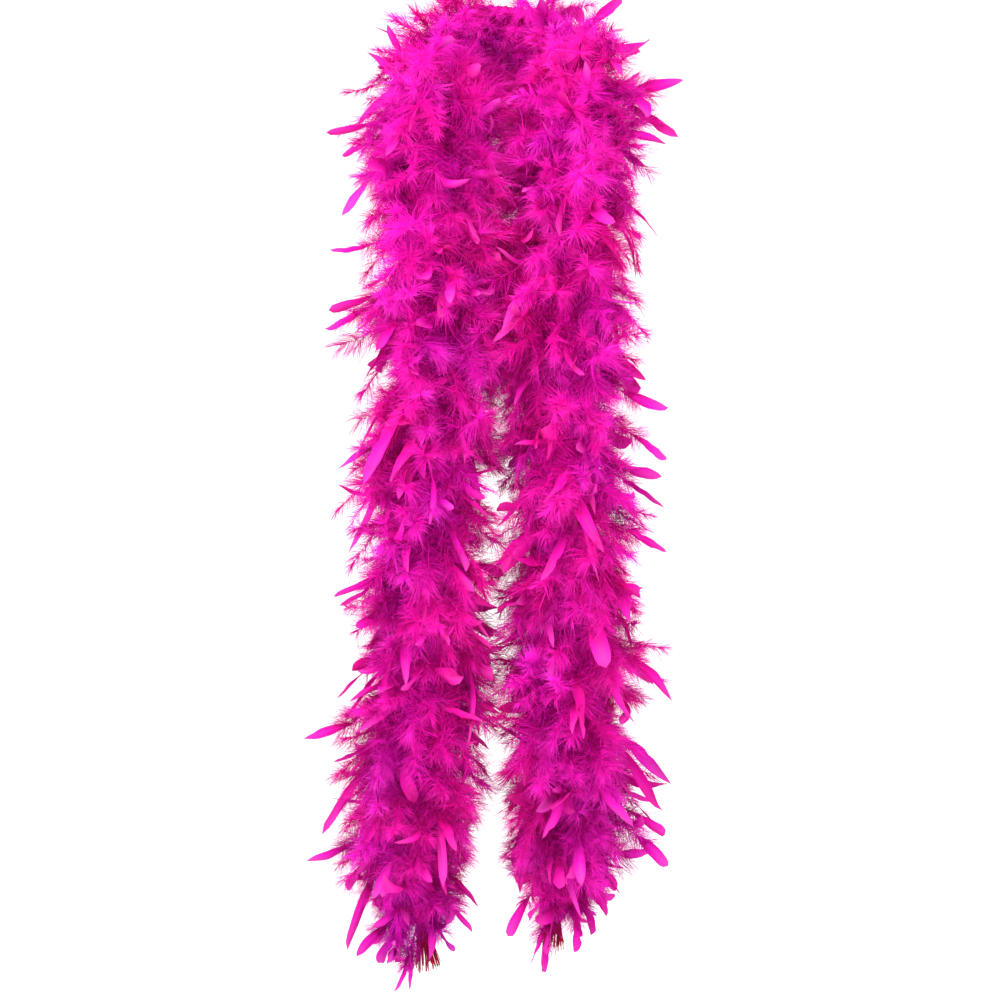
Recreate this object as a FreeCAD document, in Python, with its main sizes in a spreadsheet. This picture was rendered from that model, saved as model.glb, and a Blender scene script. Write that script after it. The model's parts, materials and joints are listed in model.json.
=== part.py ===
import FreeCAD, Part
import math
import os

from FreeCAD import Placement, Rotation, Vector

# Feather boa, worn: it lies round the nape of a neck, comes forward over both shoulders and hangs
# down in front in two tails. Millimetres, +X to the onlooker's right, +Y to the wearer's back, +Z up.
# The origin is where the down leans on the nape, so the neck's axis passes in front of it.

doc = FreeCAD.newDocument("feather_boa")
sheet = doc.addObject("Spreadsheet::Sheet", "dimensions")

DIMENSIONS = [
    ("cord_diameter", 5.0, "two-ply cotton core"),
    ("thread_diameter", 0.7, "locking thread wound round the core"),
    ("thread_turns", 7, "turns shown on each stretch of core"),
    ("down_diameter", 56.0, "dense down next to the core"),
    ("boa_diameter", 150.0, "over the feather tips"),
    ("down_hinge_gap", 5.2, "room left in the down on each side of a bending place"),
    ("cord_hinge_gap", 1.8, "room left in the core on each side of a bending place"),
    ("plume_width", 9.0, "widest place of a feather's vane"),
    ("plume_thickness", 1.2, "thickness of a feather's solid"),
    ("quill_width", 1.8, "a feather's bare shaft"),
    ("plume_spacing", 5.0, "distance along the core from one feather to the next"),
    ("plume_droop", 34.0, "degrees that a feather points down along the boa"),
    ("plume_keep_clear", 42.0, "no feathers this near a bending place"),
    ("tail_gap_place", -8.0, "plane between the two tails"),
    ("tail_gap", 5.0, "feathers stay this far from that plane"),
    ("knot_size", 9.0, "across the end knot"),
    ("whipping_height", 9.0, "thread band round the cut quills"),
    ("whipping_diameter", 10.0, "outside of that band"),
    ("whipping_bore", 7.9, "inside of that band"),
    ("brush_quill_diameter", 1.3, "a cut quill in the end brush"),
    ("left_brush_length", 38.0, "cut quills below the left knot"),
    ("right_brush_length", 27.0, "cut quills below the right knot"),
]
for row, (alias, value, note) in enumerate(DIMENSIONS, start=1):
    sheet.set(f"A{row}", alias.replace("_", " "))
    sheet.set(f"B{row}", str(value))
    sheet.set(f"C{row}", note)
    sheet.setAlias(f"B{row}", alias)
doc.recompute()

# The core's route, from the end of the left tail over the nape to the end of the right tail.
ROUTE = [
    Vector(-83, -135, -925), Vector(-89, -138, -886), Vector(-98, -136, -836),
    Vector(-101, -141, -775), Vector(-94, -143, -708), Vector(-86, -139, -640),
    Vector(-85, -144, -572), Vector(-90, -147, -503), Vector(-84, -143, -434),
    Vector(-78, -145, -365), Vector(-84, -140, -296), Vector(-81, -130, -228),
    Vector(-79, -113, -164), Vector(-83, -91, -106), Vector(-78, -55, -60),
    Vector(-64, -14, -28), Vector(-38, 18, -6), Vector(0, 31, 1), Vector(41, 18, -6),
    Vector(69, -16, -27), Vector(80, -56, -58), Vector(78, -90, -104),
    Vector(74, -112, -162), Vector(70, -129, -226), Vector(62, -139, -294),
    Vector(63, -144, -363), Vector(69, -141, -432), Vector(71, -146, -501),
    Vector(68, -143, -570), Vector(70, -138, -638), Vector(73, -142, -706),
    Vector(68, -140, -773), Vector(66, -135, -834), Vector(59, -137, -880),
    Vector(51, -134, -914),
]
LAST_RUN = len(ROUTE) - 2

# Each stretch runs from the middle of one run of the route to the middle of another. The bending
# places are where a stretch of another body begins.
TAIL_STRETCHES = {
    "left_lower": (0, 4), "left_middle": (4, 7), "left_upper": (7, 10),
    "right_upper": (23, 26), "right_middle": (26, 29), "right_lower": (29, LAST_RUN),
}
COLLAR_STRETCHES = {
    "left_chest": (10, 12), "left_shoulder": (12, 15), "nape": (15, 18),
    "right_shoulder": (18, 21), "right_chest": (21, 23),
}
COLLAR = (10, 23)


def size(alias):
    return float(sheet.get(alias))


def rounded_path(points):
    """Straight runs joined by tangent arcs, each as wide as its two runs allow."""
    edges = []
    radii = []
    at = points[0]
    for before, corner, after in zip(points, points[1:], points[2:]):
        run_in = corner - before
        run_out = after - corner
        half_turn = run_in.getAngle(run_out) / 2
        radius = 0.45 * min(run_in.Length, run_out.Length) / math.tan(half_turn)
        back = radius * math.tan(half_turn)
        run_in.normalize()
        run_out.normalize()
        arc_start = corner - run_in * back
        arc_end = corner + run_out * back
        to_centre = (run_out - run_in).normalize()
        nearest = corner + to_centre * (radius / math.cos(half_turn) - radius)
        edges.append(Part.LineSegment(at, arc_start).toShape())
        edges.append(Part.Arc(arc_start, nearest, arc_end).toShape())
        radii.append(round(radius))
        at = arc_end
    edges.append(Part.LineSegment(at, points[-1]).toShape())
    print(f"core: bend radii {radii} mm")
    return Part.Wire(edges)


WHOLE = rounded_path(ROUTE)


def run_middle(run):
    """Distance along the route to the middle of a run's straight part. The first and last runs end the route."""
    if run == 0:
        return 0.0
    if run == LAST_RUN:
        return WHOLE.Length
    edges = WHOLE.Edges
    return sum(edge.Length for edge in edges[:2 * run]) + edges[2 * run].Length / 2


def stretch_path(first, last, gap_before=0.0, gap_after=0.0):
    """The part of the route between two runs' middles, shortened by the gaps."""
    start = run_middle(first) + gap_before
    end = run_middle(last) - gap_after
    kept = []
    passed = 0.0
    for edge in WHOLE.Edges:
        low = max(start - passed, 0.0)
        high = min(end - passed, edge.Length)
        if high - low > 0.01:
            kept.append(edge.Curve.toShape(edge.getParameterByLength(low), edge.getParameterByLength(high)))
        passed += edge.Length
    return Part.Wire(kept)


def at_path(path, distance):
    """Point and direction on a path, at a distance from its start."""
    for edge in path.Edges:
        if distance <= edge.Length:
            place = edge.getParameterByLength(distance)
            return edge.valueAt(place), edge.tangentAt(place)
        distance -= edge.Length
    last = path.Edges[-1]
    return last.valueAt(last.LastParameter), last.tangentAt(last.LastParameter)


def turned_to(direction, point):
    """Placement that carries a shape made on +Z to a point, along a direction."""
    return Placement(point, Rotation(Vector(0, 0, 1), direction))


def feature(label, shape):
    """A document object that holds a shape made by Part's functions."""
    made = doc.addObject("Part::Feature", label)
    made.Label = label
    made.Shape = shape
    made.Placement = Placement()
    return made


def swept_tube(label, path, radius_rule):
    """Round tube along a path, with its radius bound to the sheet."""
    spine = feature(f"{label}_spine", path)
    start, direction = at_path(path, 0)
    circle = doc.addObject("Part::Circle", f"{label}_section")
    circle.setExpression("Radius", radius_rule)
    circle.Placement = turned_to(direction, start)
    tube = doc.addObject("Part::Sweep", label)
    tube.Label = label
    tube.Sections = [circle]
    tube.Spine = (spine, [f"Edge{n}" for n in range(1, len(spine.Shape.Edges) + 1)])
    tube.Solid = True
    tube.Frenet = False
    return tube


def down(label, first, last, round_start, round_end):
    """Dense down round the core. An end at a bending place is round, so that it can turn freely."""
    reach = size("down_diameter") / 2 + size("down_hinge_gap")
    path = stretch_path(first, last, reach * round_start, reach * round_end)
    rule = "dimensions.down_diameter / 2"
    if not (round_start or round_end):
        return swept_tube(label, path, rule)
    parts = [swept_tube(f"{label}_tube", path, rule)]
    for number, (is_round, distance) in enumerate(((round_start, 0), (round_end, path.Length))):
        if not is_round:
            continue
        ball = doc.addObject("Part::Sphere", f"{label}_end_{number}")
        ball.setExpression("Radius", rule)
        ball.Placement.Base = at_path(path, distance)[0]
        parts.append(ball)
    whole = doc.addObject("Part::MultiFuse", label)
    whole.Label = label
    whole.Shapes = parts
    whole.Refine = False
    return whole


def thread_rings(label, path, margin):
    """Turns of the locking thread, close round the core, evenly spread over a stretch."""
    turns = int(size("thread_turns"))
    ring_radius = (size("cord_diameter") + size("thread_diameter")) / 2 + 0.1
    step = (path.Length - 2 * margin) / (turns - 1)
    rings = []
    for turn in range(turns):
        point, direction = at_path(path, margin + turn * step)
        ring = Part.makeTorus(ring_radius, size("thread_diameter") / 2)
        ring.Placement = turned_to(direction, point)
        rings.append(ring)
    return feature(label, Part.makeCompound(rings))


def plume(base, direction, facing, length, width):
    """One feather: a bare shaft that widens to a leaf-shaped vane, cut from a thin sheet."""
    along = Vector(direction).normalize()
    across = along.cross(facing).normalize()
    normal = along.cross(across).normalize()
    shaft = size("quill_width") / 2
    half = width / 2
    thickness = size("plume_thickness")
    outline = [(0.0, shaft), (0.42, shaft), (0.62, half), (0.84, 0.8 * half), (1.0, 0.0)]
    outline += [(part, -side) for part, side in reversed(outline[:-1])]
    corners = [base + along * (length * part) + across * side for part, side in outline]
    face = Part.Face(Part.makePolygon(corners + corners[:1]))
    solid = face.extrude(normal * thickness)
    solid.translate(normal * (-thickness / 2))
    return solid


def plume_reach(number, stretch_number):
    """How far the tips reach from the core: uneven, as the feathers are."""
    wave = 0.5 + 0.5 * math.sin(2.3 * number + 1.7 * stretch_number)
    return size("boa_diameter") / 2 * (0.82 + 0.2 * wave)


def plumes(label, path, stretch_number, downwards, clear_before, clear_after, allowed):
    """Feathers wound round a stretch, a golden angle apart, where allowed says that there is room."""
    base_radius = size("down_diameter") / 2 - 4
    golden = math.pi * (3 - math.sqrt(5))
    droop = math.radians(size("plume_droop"))
    made = []
    number = 0
    at = clear_before
    while at < path.Length - clear_after:
        centre, direction = at_path(path, at)
        side = direction.cross(Vector(0, 1, 0.3)).normalize()
        front = side.cross(direction).normalize()
        angle = number * golden + stretch_number
        outward = side * math.cos(angle) + front * math.sin(angle)
        reach = plume_reach(number, stretch_number)
        pointing = outward * math.cos(droop) + direction * (downwards * math.sin(droop))
        length = (reach - base_radius) / math.cos(droop)
        base = centre + outward * base_radius
        tip = base + pointing * length
        if allowed(tip, outward):
            width = size("plume_width") * (0.85 + 0.3 * math.sin(number))
            made.append(plume(base, pointing, direction, length, width))
        number += 1
        at += size("plume_spacing")
    return feature(label, Part.makeCompound(made))


def beside_gap(side_sign):
    """A tail's feathers keep to their own side of the gap between the tails."""
    def allowed(tip, outward):
        return side_sign * (tip.x - size("tail_gap_place")) > size("tail_gap")
    return allowed


def off_wearer(side_sign):
    """Feathers on the shoulders and chest point away from the neck and the chest."""
    inner = beside_gap(side_sign)

    def allowed(tip, outward):
        return inner(tip, outward) and outward.y < 0.2 and side_sign * outward.x > -0.35
    return allowed


def off_nape(tip, outward):
    return outward.y > -0.2


def build_stretch(name, first, last, side_sign, number):
    """One tail body's pieces: core, thread, down and feathers. Tails point down towards their ends."""
    left = side_sign < 0
    free_start = first == 0
    free_end = last == LAST_RUN
    gap = size("cord_hinge_gap")
    path = stretch_path(first, last, gap * (not free_start), gap * (not free_end))
    cord = swept_tube(f"{name}_core_cord", path, "dimensions.cord_diameter / 2")
    thread = thread_rings(f"{name}_locking_thread", path, 22)
    pile = down(f"{name}_down", first, last, not free_start, not free_end)
    clear = size("plume_keep_clear")
    clear_before = 8 if free_start else clear
    clear_after = 8 if free_end else clear
    plume_group = plumes(f"{name}_plumes", path, number, -1 if left else 1,
                         clear_before, clear_after, beside_gap(side_sign))
    return [cord, thread, pile, plume_group]


def end_knot(label, centre, direction):
    """Overhand knot in the end of the core: two crossing turns of the cord round a tight middle."""
    across = Rotation(Vector(0, 0, 1), direction)
    turns = []
    for number, tilt in enumerate((35, -35)):
        turn = doc.addObject("Part::Torus", f"{label}_turn_{number}")
        turn.setExpression("Radius1", "dimensions.knot_size / 2 - dimensions.cord_diameter / 4")
        turn.setExpression("Radius2", "dimensions.cord_diameter / 2")
        turn.Placement = Placement(centre, across * Rotation(Vector(1, 0, 0), tilt))
        turns.append(turn)
    heart = doc.addObject("Part::Sphere", f"{label}_middle")
    heart.setExpression("Radius", "dimensions.knot_size / 2")
    heart.Placement = Placement(centre, across)
    knot = doc.addObject("Part::MultiFuse", label)
    knot.Label = label
    knot.Shapes = turns + [heart]
    knot.Refine = False
    return knot


def whipping(label, centre, direction):
    """Thread band that holds the cut quills together."""
    place = turned_to(direction, centre)
    band = doc.addObject("Part::Cylinder", f"{label}_band")
    band.setExpression("Radius", "dimensions.whipping_diameter / 2")
    band.setExpression("Height", "dimensions.whipping_height")
    bore = doc.addObject("Part::Cylinder", f"{label}_bore")
    bore.setExpression("Radius", "dimensions.whipping_bore / 2")
    bore.setExpression("Height", "dimensions.whipping_height")
    ring = doc.addObject("Part::Cut", label)
    ring.Label = label
    ring.Base = band
    ring.Tool = bore
    ring.Placement = place
    return ring


def quill_brush(label, centre, direction, length):
    """Cut quills in two rings, held together at the top and fanned out below."""
    thick = size("brush_quill_diameter") / 2
    turned = Rotation(Vector(0, 0, 1), direction)
    quills = []
    for ring_radius, count, spread in ((1.5, 5, 3.5), (3.05, 9, 10.0)):
        for number in range(count):
            angle = 2 * math.pi * number / count + ring_radius
            top = Vector(math.cos(angle), math.sin(angle), 0) * ring_radius
            neck = top + Vector(0, 0, size("whipping_height") + 1)
            own = length * (0.82 + 0.18 * math.cos(3 * number + ring_radius))
            lean = Vector(math.cos(angle), math.sin(angle), 0) * math.tan(math.radians(spread))
            straight = Part.makeCylinder(thick, neck.z, top, Vector(0, 0, 1))
            bend = Part.makeSphere(thick, neck)
            fan = Part.makeCone(thick, 0.6 * thick, own - neck.z, neck, Vector(lean.x, lean.y, 1))
            quills.append(straight.fuse([bend, fan]))
    group = Part.makeCompound(quills)
    group.Placement = Placement(centre, turned)
    return feature(label, Part.makeCompound([group.copy()]))


def build_tail_end(name, corner, before, brush_alias):
    """End knot, whipping and quill brush below the end of a tail's core."""
    direction = (corner - before).normalize()
    knot_centre = corner + direction * (size("knot_size") / 2 + 0.3)
    knot = end_knot(f"{name}_end_knot", knot_centre, direction)
    below_knot = knot_centre + direction * (size("knot_size") / 2 + 2.2)
    band = whipping(f"{name}_end_whipping", below_knot, direction)
    brush = quill_brush(f"{name}_quill_brush", below_knot - direction * 0.8, direction, size(brush_alias))
    return [knot, band, brush]


def loose_group(label, feathers):
    """Long feathers that stand out of the pile: (base on the core, tip, width)."""
    return feature(label, Part.makeCompound([
        plume(base, tip - base, Vector(0.1, 1, 0.2), (tip - base).Length, width)
        for base, tip, width in feathers
    ]))


nodes = []
SIDES = {"left": -1, "right": 1}
for number, (name, (first, last)) in enumerate(TAIL_STRETCHES.items(), start=1):
    nodes += build_stretch(name, first, last, SIDES[name.split("_")[0]], number)

collar_gap = size("cord_hinge_gap")
nodes.append(swept_tube(
    "collar_core_cord", stretch_path(*COLLAR, collar_gap, collar_gap), "dimensions.cord_diameter / 2"
))
for number, (name, (first, last)) in enumerate(COLLAR_STRETCHES.items(), start=7):
    path = stretch_path(first, last)
    nodes.append(thread_rings(f"{name}_locking_thread", path, 8))
    nodes.append(down(f"{name}_down", first, last, name == "left_chest", name == "right_chest"))
    if name == "nape":
        nodes.append(plumes("nape_plumes", path, number, 0, 6, 6, off_nape))
        continue
    side_sign = SIDES[name.split("_")[0]]
    clear = size("plume_keep_clear")
    nodes.append(plumes(
        f"{name}_plumes", path, number, side_sign,
        clear if name == "left_chest" else 6, clear if name == "right_chest" else 6,
        off_wearer(side_sign),
    ))

nodes += build_tail_end("left", ROUTE[0], ROUTE[1], "left_brush_length")
nodes += build_tail_end("right", ROUTE[-1], ROUTE[-2], "right_brush_length")

nodes.append(loose_group("left_lower_loose_plumes", [
    (Vector(-118, -140, -722), Vector(-202, -150, -738), 9.0),
    (Vector(-120, -138, -815), Vector(-199, -128, -866), 8.0),
    (Vector(-88, -116, -900), Vector(-93, -113, -977), 9.0),
]))
nodes.append(loose_group("right_lower_loose_plumes", [
    (Vector(92, -140, -790), Vector(160, -152, -833), 8.0),
    (Vector(46, -113, -890), Vector(34, -109, -974), 9.0),
]))
nodes.append(loose_group("right_shoulder_loose_plumes", [
    (Vector(100, -62, -62), Vector(182, -70, -70), 8.0),
]))
nodes.append(loose_group("left_shoulder_loose_plumes", [
    (Vector(-104, -72, -84), Vector(-172, -88, -148), 8.0),
]))

doc.recompute()

for made in doc.Objects:
    if "Invalid" in made.State or "Error" in made.State:
        raise SystemExit(f"{made.Label} failed: {made.State}")
for node in nodes:
    if node.Shape.isNull() or not node.Shape.isValid():
        raise SystemExit(f"{node.Label} has no valid shape")

nape_middle = min(WHOLE.discretize(2000), key=lambda point: abs(point.x))
print(f"core at the nape {nape_middle}")
for name, (first, last) in TAIL_STRETCHES.items():
    upper_end = last if name.startswith("left") else first
    print(f"{name} bends at {at_path(WHOLE, run_middle(upper_end))[0]}")
for node in nodes:
    if node.Label.endswith("core_cord"):
        spine = doc.getObject(f"{node.Name}_spine").Shape
        expected = math.pi * (size("cord_diameter") / 2) ** 2 * spine.Length
        print(f"{node.Label}: {spine.Length:.0f} mm, volume {node.Shape.Volume / expected:.4f} of section x length")

total = sum(node.Shape.Volume for node in nodes)
print(f"{len(nodes)} nodes, {total / 1e6:.2f} litres")

os.makedirs("parts", exist_ok=True)
for node in nodes:
    node.Shape.exportStep(f"parts/{node.Label}.step")
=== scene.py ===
import json
import math

import bpy
import numpy as np
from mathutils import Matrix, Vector


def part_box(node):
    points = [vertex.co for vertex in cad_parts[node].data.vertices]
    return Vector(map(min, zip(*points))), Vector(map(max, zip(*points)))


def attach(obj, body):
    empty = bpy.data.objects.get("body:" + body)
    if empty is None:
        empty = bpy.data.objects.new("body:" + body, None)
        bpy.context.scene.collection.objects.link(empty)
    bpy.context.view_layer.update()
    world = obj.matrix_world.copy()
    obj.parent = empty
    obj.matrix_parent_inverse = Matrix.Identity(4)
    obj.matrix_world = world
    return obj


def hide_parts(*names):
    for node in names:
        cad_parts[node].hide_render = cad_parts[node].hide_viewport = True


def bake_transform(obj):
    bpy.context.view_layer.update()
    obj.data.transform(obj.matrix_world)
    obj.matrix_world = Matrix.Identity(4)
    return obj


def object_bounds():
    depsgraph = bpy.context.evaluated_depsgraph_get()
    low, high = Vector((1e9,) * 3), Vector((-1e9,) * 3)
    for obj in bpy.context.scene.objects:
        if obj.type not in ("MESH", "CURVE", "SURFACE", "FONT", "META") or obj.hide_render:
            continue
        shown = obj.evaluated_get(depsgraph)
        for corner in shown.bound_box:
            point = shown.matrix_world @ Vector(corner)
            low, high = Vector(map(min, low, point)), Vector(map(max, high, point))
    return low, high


# Feather boa, worn: a twisted core cord, dense down round it and about 2,500 dyed feathers. Each feather is
# a bent shaft with downy barbs on both sides, and about a quarter of them end in a flat vane.
# Left and right are the onlooker's. Metres, in the frame of the CAD model.

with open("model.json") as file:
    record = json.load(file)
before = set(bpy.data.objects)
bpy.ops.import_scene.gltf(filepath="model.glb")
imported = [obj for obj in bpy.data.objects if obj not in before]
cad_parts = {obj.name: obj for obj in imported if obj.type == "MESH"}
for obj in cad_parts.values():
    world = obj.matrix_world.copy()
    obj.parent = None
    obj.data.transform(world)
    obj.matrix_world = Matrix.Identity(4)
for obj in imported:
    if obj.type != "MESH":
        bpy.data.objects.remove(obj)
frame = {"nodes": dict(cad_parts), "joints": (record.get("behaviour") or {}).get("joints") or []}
CAD_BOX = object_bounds()

# The core's route, from the left tail's end over the nape to the right tail's end, in metres.
ROUTE = [
    (-0.083, -0.135, -0.925), (-0.089, -0.138, -0.886), (-0.098, -0.136, -0.836),
    (-0.101, -0.141, -0.775), (-0.094, -0.143, -0.708), (-0.086, -0.139, -0.640),
    (-0.085, -0.144, -0.572), (-0.090, -0.147, -0.503), (-0.084, -0.143, -0.434),
    (-0.078, -0.145, -0.365), (-0.084, -0.140, -0.296), (-0.081, -0.130, -0.228),
    (-0.079, -0.113, -0.164), (-0.083, -0.091, -0.106), (-0.078, -0.055, -0.060),
    (-0.064, -0.014, -0.028), (-0.038, 0.018, -0.006), (0.0, 0.031, 0.001),
    (0.041, 0.018, -0.006), (0.069, -0.016, -0.027), (0.080, -0.056, -0.058),
    (0.078, -0.090, -0.104), (0.074, -0.112, -0.162), (0.070, -0.129, -0.226),
    (0.062, -0.139, -0.294), (0.063, -0.144, -0.363), (0.069, -0.141, -0.432),
    (0.071, -0.146, -0.501), (0.068, -0.143, -0.570), (0.070, -0.138, -0.638),
    (0.073, -0.142, -0.706), (0.068, -0.140, -0.773), (0.066, -0.135, -0.834),
    (0.059, -0.137, -0.880), (0.051, -0.134, -0.914),
]

BODIES = ["left_lower", "left_middle", "left_upper", "collar", "right_upper", "right_middle", "right_lower"]
BENDS = [
    "left_end_swing", "left_sway", "left_chest_swing", "right_chest_swing", "right_sway", "right_end_swing",
]
COLLAR_PARTS = ["left_chest", "left_shoulder", "nape", "right_shoulder", "right_chest"]

CORD_DIAMETER = 0.005
PLY_PITCH = 0.014          # one turn of the two plies
DOWN_RADIUS = 0.020        # dense down round the core
FLUFF_RADIUS = 0.080       # feather tips end about this far from the core

FEATHERS_PER_METRE = 980
FEATHERS_PER_PIECE = 110
LONGEST_FEATHER = 0.116
BARE_END = 0.013           # core beyond the last feather
SHAFT_END = 0.93           # share of a feather's length at which its shaft ends
SHAFT_SECTIONS = 7
VANE_ROWS = 12
NO_VANE = 1.0              # where the vane starts on a feather without one
BARBS_PER_SIDE = 140
BARBS_IN_WISP = 8          # neighbouring barbs that lean alike
FIRST_BARB = 0.28          # share of the length below which the shaft is bare
BARB_HALF = 0.00021        # half a barb's width near its foot
SOFTNESS = 0.62            # how far the barbs' shading turns out of the pile

BEND_HALF = 0.085          # half the stretch over which the boa bends at a joint
BEND_MARGIN = 0.008        # a bend's pieces reach this much further

TAIL_GAP_X = -0.008        # plane between the two tails
TORSO_FOOT_Z = -0.62       # above this a wearer's body is close behind the tails
CHEST_TOP_Z = -0.07        # and below this
NECK_AXIS_Y = -0.045
NECK_RADIUS = 0.040
THROAT_Z = -0.062          # below this the two tails' feathers meet in front of the throat
BRIDGE_TOP_Z = -0.04       # below this some feathers reach over the gap between the tails
BRIDGE_FOOT_Z = -0.34      # most of them above this
LAST_BRIDGE_Z = -0.80      # and the last ones above this
BRIDGE_REACH = 0.085
LOWEST_TIP = {"left": -0.982, "right": -0.955}
LOWEST_DOWNY_TIP = {"left": -0.904, "right": -0.878}    # the cut quills at the ends show below this
NEAREST_TIP_Y = -0.214

# Seeds of the random draws, one kind each.
ZONE_SEED = 4100
BRUSH_SEED = 900
SWELL_SEED = 31
LUMP_SEED = 77

# How full the fluff is on the outer side of each tail: height, and the share of its usual reach there.
LEFT_GIRTH = [
    (-0.03, 0.80), (-0.08, 1.00), (-0.14, 1.20), (-0.20, 1.05), (-0.25, 0.90), (-0.29, 0.96),
    (-0.33, 1.24), (-0.375, 0.82), (-0.43, 0.88), (-0.46, 1.22), (-0.50, 1.02), (-0.58, 1.10),
    (-0.62, 1.00), (-0.67, 0.72), (-0.73, 1.04), (-0.76, 0.82), (-0.83, 1.20), (-0.88, 0.82),
    (-0.95, 0.80),
]
RIGHT_GIRTH = [
    (-0.02, 0.85), (-0.07, 0.95), (-0.13, 1.18), (-0.16, 0.92), (-0.25, 1.20), (-0.29, 0.88),
    (-0.36, 1.12), (-0.40, 0.88), (-0.43, 1.00), (-0.46, 0.90), (-0.50, 1.10), (-0.55, 1.08),
    (-0.59, 0.90), (-0.67, 1.26), (-0.72, 0.84), (-0.76, 1.08), (-0.84, 1.17), (-0.88, 0.88),
    (-0.94, 0.60),
]

# The inner edges of the fluff: height, the left tail's edge, the right tail's edge.
INNER_EDGES = [
    (-0.05, 0.030, -0.040), (-0.34, 0.022, -0.030), (-0.38, -0.010, -0.008), (-0.43, -0.016, -0.001),
    (-0.46, -0.012, -0.004), (-0.50, 0.006, -0.016), (-0.56, 0.004, -0.014), (-0.60, -0.006, -0.008),
    (-0.66, -0.012, -0.012), (-0.70, -0.014, -0.012), (-0.73, 0.002, -0.014), (-0.76, -0.016, 0.000),
    (-0.80, -0.024, 0.001), (-0.83, -0.038, 0.003), (-0.87, -0.042, 0.004), (-0.91, -0.050, 0.014),
    (-0.94, -0.052, 0.026), (-0.98, -0.080, 0.036),
]

# Long feathers that stand out of the pile: tip, and how far above the tip's height the foot is.
STRAY_TIPS = [
    (-0.202, -0.150, -0.738, 0.030), (-0.200, -0.128, -0.862, 0.050), (-0.176, -0.150, -0.250, 0.022),
    (-0.180, -0.160, -0.330, 0.045), (-0.166, -0.105, -0.152, 0.045), (-0.122, -0.060, -0.012, -0.030),
    (-0.168, -0.165, -0.470, 0.030), (0.182, -0.070, -0.070, 0.010), (0.162, -0.120, -0.142, 0.040),
    (0.150, -0.160, -0.238, 0.055), (0.161, -0.165, -0.408, 0.040), (0.159, -0.170, -0.460, 0.045),
    (0.160, -0.150, -0.552, 0.035), (0.165, -0.160, -0.700, 0.060), (0.158, -0.155, -0.833, 0.050),
    (0.162, -0.140, -0.866, 0.060), (0.134, -0.090, -0.040, -0.010),
    # at the left end
    (-0.112, -0.150, -0.990, 0.082), (-0.098, -0.112, -0.994, 0.088), (-0.149, -0.150, -0.955, 0.060),
    (-0.123, -0.120, -0.966, 0.070), (-0.034, -0.150, -0.931, 0.055), (-0.027, -0.135, -0.908, 0.060),
    (-0.118, -0.168, -0.960, 0.080), (-0.052, -0.118, -0.955, 0.070),
    # at the right end
    (0.002, -0.150, -0.935, 0.075), (0.036, -0.112, -0.976, 0.085), (0.024, -0.126, -0.967, 0.080),
    (0.068, -0.150, -0.951, 0.080), (0.085, -0.130, -0.937, 0.070), (0.100, -0.150, -0.915, 0.060),
]

GRAVITY = np.array([0.0, 0.0, -1.0])
BACK_AND_UP = np.array([0.0, 1.0, 0.25])        # the route runs this way nowhere
BOX_LOW, BOX_HIGH = np.array(CAD_BOX[0]), np.array(CAD_BOX[1])
# just under the 10 mm and 3% that soft things may stand proud
SPARE = 0.009 + 0.028 * (BOX_HIGH - BOX_LOW)    # just under 10 mm and 3% of the box's size beyond the CAD box
ROOM = (BOX_LOW - SPARE, BOX_HIGH + SPARE)      # every vertex stays in here


def unit(vectors):
    return vectors / np.maximum(np.linalg.norm(vectors, axis=-1, keepdims=True), 1e-12)


# ---------------------------------------------------------------- route

def smooth_route():
    """Points of the route's NURBS line, close together, and the distance of each from the left end."""
    curve = bpy.data.curves.new("route", "CURVE")
    curve.dimensions = "3D"
    curve.resolution_u = 24
    spline = curve.splines.new("NURBS")
    spline.points.add(len(ROUTE) - 1)
    for point, place in zip(spline.points, ROUTE):
        point.co = (*place, 1.0)
    spline.order_u = 3
    spline.use_endpoint_u = True
    holder = bpy.data.objects.new("route", curve)
    bpy.context.scene.collection.objects.link(holder)
    line = bpy.data.meshes.new_from_object(holder)
    points = np.array([vertex.co for vertex in line.vertices], float)
    bpy.data.objects.remove(holder)
    bpy.data.meshes.remove(line)
    steps = np.linalg.norm(np.diff(points, axis=0), axis=1)
    return points, np.concatenate([[0.0], np.cumsum(steps)])


LINE, LINE_AT = smooth_route()
LINE_LENGTH = float(LINE_AT[-1])


def on_route(at):
    """Points and unit directions (towards the right end) at distances along the route."""
    at = np.asarray(at, float)

    def places(distance):
        return np.stack([np.interp(distance, LINE_AT, LINE[:, axis]) for axis in range(3)], axis=-1)

    return places(at), unit(places(at + 0.004) - places(at - 0.004))


def across_route(run):
    """Two unit directions across the route: sideways, and square to that."""
    level = unit(np.cross(run, BACK_AND_UP))
    return level, np.cross(level, run)


def nearest_distance(place):
    """Distance along the route of the point nearest to a place."""
    return float(LINE_AT[np.argmin(np.linalg.norm(LINE - np.array(place), axis=1))])


# ---------------------------------------------------------------- meshes

def new_mesh(name, vertices, faces):
    """Smooth mesh object from an (n, 3) array and a list of face arrays, each (m, 3) or (m, 4)."""
    mesh = bpy.data.meshes.new(name)
    mesh.vertices.add(len(vertices))
    mesh.vertices.foreach_set("co", np.ascontiguousarray(vertices, np.float32).ravel())
    loops = np.concatenate([face.ravel() for face in faces]).astype(np.int32)
    sizes = np.concatenate([np.full(len(face), face.shape[1]) for face in faces])
    starts = np.concatenate([[0], np.cumsum(sizes)[:-1]]).astype(np.int32)
    mesh.loops.add(len(loops))
    mesh.loops.foreach_set("vertex_index", loops)
    mesh.polygons.add(len(sizes))
    mesh.polygons.foreach_set("loop_start", starts)
    mesh.update(calc_edges=True)
    mesh.polygons.foreach_set("use_smooth", np.full(len(sizes), True))
    made = bpy.data.objects.new(name, mesh)
    bpy.context.scene.collection.objects.link(made)
    return made


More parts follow.
